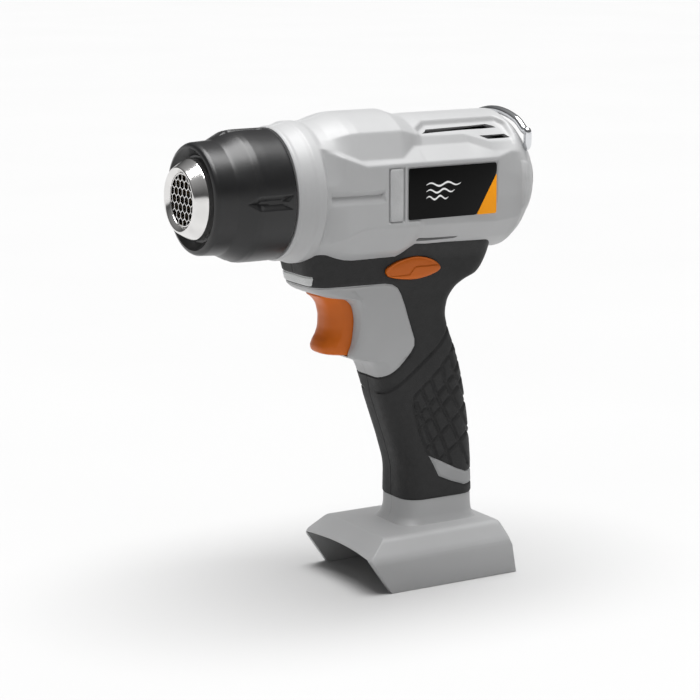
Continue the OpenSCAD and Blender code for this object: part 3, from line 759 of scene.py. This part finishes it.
def button_outline(grow=0.0):
    """The lock button's eye shape in the side view: one smooth closed curve, ten steps a span."""
    points = np.array(BUTTON)
    t = np.linspace(0, 1, 10, endpoint=False)[:, None]
    a, b, c, d = (np.roll(points, k, 0)[:, None] for k in (1, 0, -1, -2))
    curve = b + 0.5 * ((c - a) * t + (2 * a - 5 * b + 4 * c - d) * t ** 2 + (3 * b - a - 3 * c + d) * t ** 3)
    curve = curve.reshape(-1, 2)
    along = np.roll(curve, -1, 0) - np.roll(curve, 1, 0)
    along /= np.linalg.norm(along, axis=1, keepdims=True)
    return curve + grow * np.stack([along[:, 1], -along[:, 0]], 1)


def screw_cutters():
    return [rod("screw", (x, 7, z), (x, 60, z), 3.4, 24) for x, z in BOSSES]


def build_shells():
    """Both halves of the housing and of the overmould, the light window and the chevrons."""
    field = barrel_radius()
    left = boolean(barrel_shell("barrel_left", field), barrel_cutters())
    right = mirrored(left, "barrel_right")
    boolean(right, screw_cutters())
    barrels = {LEFT: left, RIGHT: right}

    outside = handle_solid("outside", 0, 0.55, 300, True)
    boolean(outside, opening_cutters())
    middle = handle_solid("middle", SKIN, 2, 96, False)
    hollow = handle_solid("hollow", SKIN + 2.4, 2, 96, False)
    skin = boolean(copy_of(outside, "skin"), [copy_of(middle, "m"), spine()])
    base = box("base", (0, -60, 0), (200, 60, SKIN_BOTTOM))
    lens_box = prism("lens_box", rounded([(5, 172), (19.2, 172), (19.2, 177.4), (5, 177.4)], 0.9, 5), -30, 30)
    panel = prism("panel_cut", PANEL, -60, 60)
    chevron = prism("chevron_cut", CHEVRON, -60, 60)

    lens = boolean(copy_of(skin, "light_window"), [copy_of(lens_box, "l")], "INTERSECT")
    chevrons = boolean(copy_of(skin, "chevron"), [copy_of(chevron, "c")], "INTERSECT")
    grip = boolean(skin, [copy_of(base, "b"), copy_of(panel, "p"), copy_of(chevron, "c"),
                          copy_of(lens_box, "l")])
    front = boolean(copy_of(outside, "front"), [copy_of(panel, "p")], "INTERSECT")
    neck = boolean(outside, [copy_of(base, "b")], "INTERSECT")
    lamp_space = box("lamp", (10, -8, 173.4), (26, 8, 177.4))
    core = boolean(boolean(middle, opening_cutters() + [lamp_space]), [spine()])
    core = boolean(core, [front, neck, foot_solid("foot")], "UNION")
    boolean(core, [hollow] + foot_cutters() + [spine()])
    boolean(core, [box("contacts", (100, -8, 20), (118, 8, 42))])
    for spare in (base, lens_box, panel, chevron):
        bpy.data.objects.remove(spare)

    for side, word in SIDES.items():
        house, soft = f"{word}_housing", f"{word}_grip"
        dress(barrels[side], M["shell"], "housing", [house], 28)
        frame_half = boolean(copy_of(core, f"frame_{word}"), [half_space("h", side)], "INTERSECT")
        grip_half = boolean(copy_of(grip, f"overmould_{word}"), [half_space("h", side)], "INTERSECT")
        tick = boolean(copy_of(chevrons, f"chevron_{word}"), [half_space("h", side)], "INTERSECT")
        if side == RIGHT:
            boolean(frame_half, screw_cutters())
            boolean(grip_half, screw_cutters())
        dress(frame_half, M["panel"], "housing", [house], 30)
        dress(grip_half, M["rubber"], "housing", [soft], 40)
        dress(tick, M["chevron"], "housing", [f"grip_chevron_{word}"], 30)
    dress(lens, M["window"], "housing", ["work_light_lens"], 30)
    for spare in (core, grip, chevrons):
        bpy.data.objects.remove(spare)
    return field


# ---------------------------------------------------------------- badge, strip and pad

def slab(name, outline, depth, y0):
    """A thin plate on the tool's left flank with softened corners and edges."""
    piece = prism(name, [tuple(p) for p in rounded(outline, 1.2, 5)], -y0 - depth, -y0)
    return bevel(piece, min(0.25, depth * 0.4), 2, 50)


def wave_line(name, x0, z_middle, length, height=0.9, half=0.55):
    """One rising ripple of warm air, printed on the badge."""
    t = np.linspace(0, 1, 41)
    x = x0 + length * t
    z = z_middle + height * np.sin(t * 4 * math.pi)
    w = half * np.sin(np.pi * np.clip(t, 0.02, 0.98)) ** 0.4
    upper = list(zip(x, z + w))
    lower = list(zip(x[::-1], (z - w)[::-1]))
    return prism(name, upper + lower, -35.18, -35.02)


def build_badge():
    """The black plate with its orange corner and a plain printed motif, on both sides."""
    low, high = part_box("label_plate_left")
    x0, x1 = (low.x - SHIFT) * 1000, (high.x - SHIFT) * 1000
    z0, z1 = low.z * 1000, high.z * 1000
    slant = x0 + (x1 - x0) * 0.77
    rise = z0 + (z1 - z0) * 0.8
    face = -low.y * 1000
    back = -high.y * 1000
    plate = slab("badge_plate_left", [(x0, z0), (slant - 0.1, z0), (x1, rise), (x1, z1), (x0, z1)],
                 face - back, back + 0.06)
    wedge = slab("badge_corner_left", [(slant + 0.1, z0), (x1, z0), (x1, rise - 0.2)],
                 face - back, back + 0.06)
    marks = [wave_line(f"badge_ripple_left_{k}", x0 + 11, z1 - 9.5 - 3.6 * k, 22 - 4 * k)
             for k in range(3)]
    pieces = [(plate, "plate", "label_black", "label_plate"), (wedge, "wedge", "label_orange", "label_wedge")]
    for piece, material, slot, node in pieces:
        dress_pair(piece, material, node)
    for piece in marks:
        dress_pair(piece, "print")


def build_strip():
    """The grained strip in front of the badge."""
    low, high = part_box("bar_insert_left")
    x0, x1 = (low.x - SHIFT) * 1000, (high.x - SHIFT) * 1000
    z0, z1 = low.z * 1000, high.z * 1000
    outline = rounded([(x0, z0), (x1, z0), (x1, z1), (x0, z1)], 1.4, 5)
    middle = outline.mean(0)
    rings = []
    for inset, y in [(0, 34.0), (0, 34.9), (0.35, 35.25), (1.0, 35.4), (2.2, 35.48)]:
        shrink = 1 - inset / np.array([(x1 - x0) / 2, (z1 - z0) / 2])
        loop = middle + (outline - middle) * shrink
        rings.append([(x, -y, z) for x, z in loop])
    strip = loft("strip_left", rings)
    dress_pair(strip, "insert", "bar_insert")


def build_rear_pad(field):
    """The grained pad that lies on the barrel's rear corner and follows its surface."""
    rows = np.where((BARREL_X > 139.6) & (BARREL_X < 150))[0][::2]
    columns = np.where((BARREL_ANGLE < 20.5) & (BARREL_ANGLE > -23))[0][::2]
    radius = field[np.ix_(rows, columns)]
    theta = np.radians(BARREL_ANGLE[columns])[None, :]
    x = np.repeat(BARREL_X[rows][:, None], len(columns), 1)
    row, column = np.indices(radius.shape)
    edge = np.minimum(np.minimum(row, len(rows) - 1 - row), np.minimum(column, len(columns) - 1 - column))
    outer = radius + 0.1 + 0.55 * ramp(edge, 0, 2)
    inner = radius - 0.4
    layers = [np.stack([x, -r * np.cos(theta), AXIS + r * np.sin(theta)], -1) for r in (outer, inner)]
    r, c = radius.shape
    first = r * c
    faces = grid_faces(r, c, False) + [f[::-1] for f in grid_faces(r, c, False, first)]
    faces += bridge(rim_of(r, c, 1), rim_of(r, c, 1, first), 1)
    pad = make("pad_left", np.vstack([p.reshape(-1, 3) for p in layers]), faces)
    dress_pair(pad, "insert", "rear_pad")


# ---------------------------------------------------------------- nose

def build_collar():
    """The stepped heat collar with an arrow-shaped notch on each quarter."""
    outer = [(23, -45.2), (27.4, -45.2), (29.0, -44.6), (29.9, -43.0), (30.2, -38), (30.5, -32.4),
             (31.0, -31.2), (32.8, -27.6), (34.8, -23.4), (35.3, -20), (35.4, -14), (35.4, -1.4),
             (34.8, -0.1)]
    inner = [(33.05, -0.1), (33.05, -16), (27.6, -30), (27.6, -38), (21.9, -38), (21.9, -41), (23, -41)]
    outer = rounded(outer, 0.4, 4)[4:-4]
    along = np.concatenate([[0], np.cumsum(np.linalg.norm(np.diff(outer, axis=0), axis=1))])
    at = np.linspace(0, along[-1], int(along[-1] / 0.5))
    skin = np.stack([np.interp(at, along, outer[:, k]) for k in (0, 1)], 1)
    sides = 432
    turn = np.linspace(0, 2 * math.pi, sides, endpoint=False)
    profile = np.vstack([skin, inner])
    radius = np.repeat(profile[:, 0][:, None], sides, 1)
    x = np.repeat(profile[:, 1][:, None], sides, 1)
    quarter = (turn + math.pi / 4) % (math.pi / 2) - math.pi / 4
    across = np.repeat(quarter[None, :], len(profile), 0) * 35.4
    arrow = [(-28.5, 0), (-22, -4), (-2.4, -4), (-6, 0), (-2.4, 4), (-22, 4)]
    deep = depth_in(x, across, arrow)
    cut = np.clip(0.8 * deep, 0, 2.6)
    cut[len(skin):] = 0
    radius = radius - cut
    points = np.stack([x, -radius * np.cos(turn), AXIS + radius * np.sin(turn)], -1)
    rows = len(profile)
    faces = grid_faces(rows, sides, True)
    faces += [[(rows - 1) * sides + k, (rows - 1) * sides + (k + 1) % sides, (k + 1) % sides, k]
              for k in range(sides)]
    collar = make("collar", points.reshape(-1, 3), faces)
    dress(collar, M["collar"], "housing", ["heat_collar"], 30)


def build_nozzle():
    """The flared steel outlet with its rolled rim and inner funnel."""
    profile = [(16.3, -52.3), (17.0, -52.5), (17.7, -52.1), (18.1, -51.4), (21.0, -46.9), (21.8, -45.6),
               (21.8, -29), (20, -29), (20, -45), (14.2, -46.2), (14.1, -50.4)]
    dress(revolve("outlet", rounded(profile, 0.45, 4), 144), M["steel"], "housing",
          ["nozzle"], 40)


def build_grille():
    """The honeycomb plate in the outlet; the rim cuts off the cells at its edge."""
    radius, face, back = 14.1, -50, -46.8
    pitch, flats, reach = 4.7, 4.25, 13.6
    plate = revolve("grille", [(0.01, face), (radius, face), (radius, back), (0.01, back)], 96)
    corners = np.radians(np.arange(0, 360, 60) + 30)
    points, faces = [], []
    for row in range(-4, 5):
        for column in range(-4, 5):
            y, z = (column + row % 2 / 2) * pitch, row * pitch * math.sqrt(0.75)
            if math.hypot(y, z) > reach + 0.2 * flats:
                continue
            size = flats / math.sqrt(3)
            first = len(points)
            points += [(x, y + size * math.cos(a), AXIS + z + size * math.sin(a))
                       for x in (face - 2, back + 2) for a in corners]
            faces += [[first + k for k in range(5, -1, -1)], [first + 6 + k for k in range(6)]]
            faces += [[first + k, first + (k + 1) % 6, first + 6 + (k + 1) % 6, first + 6 + k]
                      for k in range(6)]
    limit = revolve("limit", [(0.01, face - 1), (reach, face - 1), (reach, back + 1), (0.01, back + 1)], 96)
    cells = boolean(make("cells", np.array(points), faces), [limit], "INTERSECT")
    dress(boolean(plate, [cells]), M["steel"], "housing", ["honeycomb_grille"], 30)


# ---------------------------------------------------------------- controls

def build_trigger():
    """The finger trigger: hollowed front, rounded ridge and flat cheeks."""
    heights = np.linspace(131.2, 165.7, 70)
    known = np.array(TRIGGER_FRONT)
    front = smooth_curve(heights, known[:, 0], known[:, 1])
    rear = (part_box("trigger")[1].x - SHIFT) * 1000
    rings = []
    for z, x0 in zip(heights, front):
        ends = min(z - 131.2, 165.7 - z)
        tuck = 0.9 * (1 - ramp(ends, 0, 1.6)) ** 2
        half = TRIGGER_W - tuck
        reach = min(12.5, rear - x0 - 1)
        t = np.linspace(0, 1, 25)
        y = -half * np.cos(t * math.pi)
        shape = np.abs(y / half)
        x = x0 + tuck + reach * 0.62 * shape ** 3.2
        x[0] = x[-1] = x0 + reach
        ridge = 0.35 * np.exp(-((shape - 0.62) / 0.12) ** 2)
        x = x - ridge
        back = [(rear - 0.4, half), (rear, half - 0.4), (rear, -half + 0.4), (rear - 0.4, -half)]
        rings.append([(a, b, z) for a, b in zip(x, y)] + [(a, b, z) for a, b in back])
    trigger = loft("trigger_lever", rings)
    corner = prism("corner", [(48, 168), (60, 168), (60, 157.1), (54.6, 157.1), (50.4, 162.6)], -20, 20)
    lower = prism("corner", [(46, 129), (60, 129), (60, 133.6), (50.5, 133.6)], -20, 20)
    boolean(trigger, [corner, lower])
    dress(trigger, M["orange"], "trigger", ["trigger"], 40)


def build_button():
    """The lock-off button: two domed ends on one bar, each with an S-shaped crease."""
    outline = button_outline()
    middle = np.array([79.6, 177.4])
    crease = [(62, 174.4), (76.5, 174.6), (80.6, 178.8), (98, 178.6)]
    low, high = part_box("lock_button")
    reach = {LEFT: -low.y * 1000, RIGHT: high.y * 1000}
    ends = []
    for side in (LEFT, RIGHT):
        rings = [[(x, side * 16.5, z) for x, z in outline]]
        for share in np.linspace(1, 0.03, 34):
            loop = middle + (outline - middle) * share
            dome = reach[side] - 1.5 * (1 - np.sqrt(max(0, 1 - share ** 4)))
            above = np.interp(loop[:, 0], [c[0] for c in crease], [c[1] for c in crease])
            step = 0.55 * ramp(above - loop[:, 1], -0.35, 0.35)
            fade = ramp(1 - share, 0, 0.14)
            rings.append([(x, side * (dome - 0.55 * fade + s * fade), z) for (x, z), s in zip(loop, step)])
        ends.append(loft(f"end_{side}", rings))
    bar = box("bar", (72, -17.5, 174.4), (90, 17.5, 180))
    button = boolean(ends[0], [ends[1], bar], "UNION")
    button.name = "lock_off_button"
    dress(button, M["orange"], "lock_button", ["lock_button"], 30)


def build_bail():
    """The wire hanging loop with eased corners, let into the rear of the barrel."""
    low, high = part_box("hanging_bail")
    radius = (high.x - low.x) / 2 * 1000
    x = (low.x + high.x) / 2 * 1000 - SHIFT * 1000
    half = high.y * 1000 - radius
    top = high.z * 1000 - radius
    pivot = low.z * 1000 + radius
    corner = 11.0
    path = [(23.2, pivot), (half - 3, pivot)]
    path += [(half - 3 + 3 * math.sin(a), pivot + 3 - 3 * math.cos(a))
             for a in np.linspace(0, math.pi / 2, 9)[1:]]
    path += [(half - corner + corner * math.cos(a), top - corner + corner * math.sin(a))
             for a in np.linspace(0, math.pi / 2, 19)]
    path += [(y, top) for y in np.linspace(half - corner, 0, 9)[1:]]
    path = [(y, z - 4.5 * (y / 22) ** 2 * float(ramp(z, pivot + 8, top))) for y, z in path]
    path = [(-y, z) for y, z in path] + [(y, z) for y, z in path[-2::-1]]
    points = np.array(path)
    turn = np.linspace(0, 2 * math.pi, 28, endpoint=False)
    rings = []
    for k, (y, z) in enumerate(points):
        before, after = points[max(k - 1, 0)], points[min(k + 1, len(points) - 1)]
        way = (after - before) / np.linalg.norm(after - before)
        side = np.array([-way[1], way[0]])
        rings.append([(x + radius * math.cos(a), y + side[0] * radius * math.sin(a),
                       z + side[1] * radius * math.sin(a)) for a in turn])
    dress(loft("hanging_wire", rings), M["chrome"], "hanging_bail", ["hanging_bail"], 40)


# ---------------------------------------------------------------- CAD nodes that stay

STAYING = {
    "work_light_board": "pale", "rear_cap": "black",
    "housing_screws": "dull", "air_duct": "black", "motor_can": "dull", "motor_magnets": "black",
    "motor_end_cap": "blue", "motor_shaft": "dull", "rotor_core": "copper", "fan_impeller": "black",
    "heater_tube": "dull", "mica_sleeve": "mica", "mica_cross": "mica", "heater_coil": "copper",
    "thermal_cutout": "dull", "control_board": "board", "switch_body": "black",
    "switch_plunger": "black", "terminal_block": "black", "terminal_blades": "copper",
    "power_leads": "red",
}


def dress_cad():
    for node, material in STAYING.items():
        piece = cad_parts[node]
        piece.data.materials.clear()
        piece.data.materials.append(M[material])
        for polygon in piece.data.polygons:
            polygon.material_index = 0
        if node in ("rear_cap", "terminal_block", "switch_body", "housing_screws"):
            step = piece.modifiers.new("edges", "BEVEL")
            step.width = 0.0003
            step.segments = 2
            step.limit_method = "ANGLE"
            step.angle_limit = math.radians(40)


# ---------------------------------------------------------------- studio

def look(thing, target):
    thing.rotation_euler = (Vector(target) - thing.location).to_track_quat("-Z", "Y").to_euler()


def build_studio():
    middle = (0, 0, (cad_low.z + cad_high.z) / 2)
    data = bpy.data.cameras.new("camera")
    data.lens = 118.7
    data.sensor_width = 36
    camera = bpy.data.objects.new("camera", data)
    camera.location = (-0.63857, -1.07699, 0.38704)
    bpy.context.scene.collection.objects.link(camera)
    look(camera, (-0.0021, 0, 0.1314))
    bpy.context.scene.camera = camera

    world = bpy.data.worlds.new("studio")
    world.use_nodes = True
    tree = world.node_tree
    place = tree.nodes.new("ShaderNodeTexCoord")
    parts = tree.nodes.new("ShaderNodeSeparateXYZ")
    fade = tree.nodes.new("ShaderNodeValToRGB")
    shades = fade.color_ramp.elements
    shades.new(0.1)
    shades.new(0.22)
    for shade, light in zip(shades, (0.9, 0.9, 0.05, 0.4)):
        shade.color = (light, light, light, 1)
    tree.links.new(place.outputs["Generated"], parts.inputs[0])
    tree.links.new(parts.outputs["Z"], fade.inputs["Fac"])
    tree.links.new(fade.outputs["Color"], tree.nodes["Background"].inputs["Color"])
    tree.nodes["Background"].inputs["Strength"].default_value = 1.0
    bpy.context.scene.world = world
    bpy.context.scene.view_settings.view_transform = "Standard"

    sky = bpy.data.lights.new("overhead", "SUN")
    sky.energy = 5.3
    sky.angle = math.radians(50)
    lamp = bpy.data.objects.new("overhead", sky)
    lamp.location = (0, 0, 2)
    bpy.context.scene.collection.objects.link(lamp)
    look(lamp, middle)

    mesh = bpy.data.meshes.new("floor")
    reach = 12
    mesh.from_pydata([(-reach, -reach, 0), (reach, -reach, 0), (reach, reach, 0), (-reach, reach, 0)],
                     [], [(0, 1, 2, 3)])
    floor = bpy.data.objects.new("floor", mesh)
    bpy.context.scene.collection.objects.link(floor)
    material, tree, shader = new_material("floor_pale", (0.5, 0.5, 0.5), 0.9)
    tint(tree, shader, texture(tree, "ShaderNodeTexNoise", 3).outputs["Fac"],
         (0.497, 0.497, 0.497), (0.503, 0.503, 0.503))
    mesh.materials.append(material)


build_studio()
dress_cad()
barrel = build_shells()
build_badge()
build_strip()
build_rear_pad(barrel)
build_collar()
build_nozzle()
build_grille()
build_trigger()
build_button()
build_bail()
